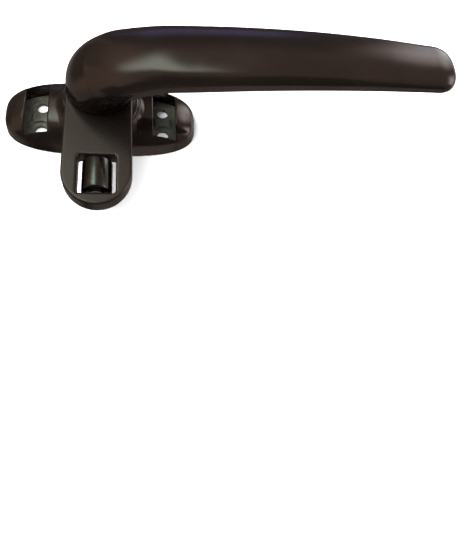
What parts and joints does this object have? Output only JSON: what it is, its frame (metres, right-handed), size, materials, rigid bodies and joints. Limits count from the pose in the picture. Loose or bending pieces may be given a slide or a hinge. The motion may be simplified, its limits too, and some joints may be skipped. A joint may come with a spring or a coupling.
{
  "type": "window handle",
  "caption": "Surface-mounted casement window handle: oval domed base, swan-neck lever and a flat latch tongue with a roller.",
  "frame": {"origin": "on the pivot axis, in the plane of the base's back face", "axes": "+Z along the pivot axis away from the sash, +X along the lever at rest, -Y along the latch tongue at rest"},
  "size_m": [0.1642, 0.0637, 0.049],
  "materials": {
    "bronze": "satin dark bronze powder coat on die-cast zinc",
    "zinc": "bare as-cast zinc",
    "steel": "zinc-plated steel",
    "black_steel": "blackened steel",
    "spring_steel": "phosphated spring steel",
    "acetal": "black acetal"
  },
  "bodies": {
    "base": {"base_cover": "bronze", "mounting_plate": "zinc", "plate_screw_1": "steel", "plate_screw_2": "steel", "pivot_bush": "acetal", "friction_washer": "acetal", "stop_pin": "steel"},
    "handle": {"lever": "bronze", "lever_set_screw": "black_steel", "latch_tongue": "bronze", "spindle": "steel", "thrust_washer": "steel", "disc_spring_1": "spring_steel", "disc_spring_2": "spring_steel", "retaining_ring": "spring_steel", "roller_pin": "steel", "roller_washer_1": "acetal", "roller_washer_2": "acetal"},
    "roller": {"roller": "black_steel"}
  },
  "joints": [
    {"name": "lever_turn", "type": "hinge", "parent": "base", "child": "handle", "pos_m": [0, 0, 0], "axis": [0, 0, 1], "range_deg": [0, 90]},
    {"name": "roller_spin", "type": "hinge", "parent": "handle", "child": "roller", "pos_m": [0, -0.0362, 0.0159], "axis": [0, 1, 0], "continuous": true}
  ]
}
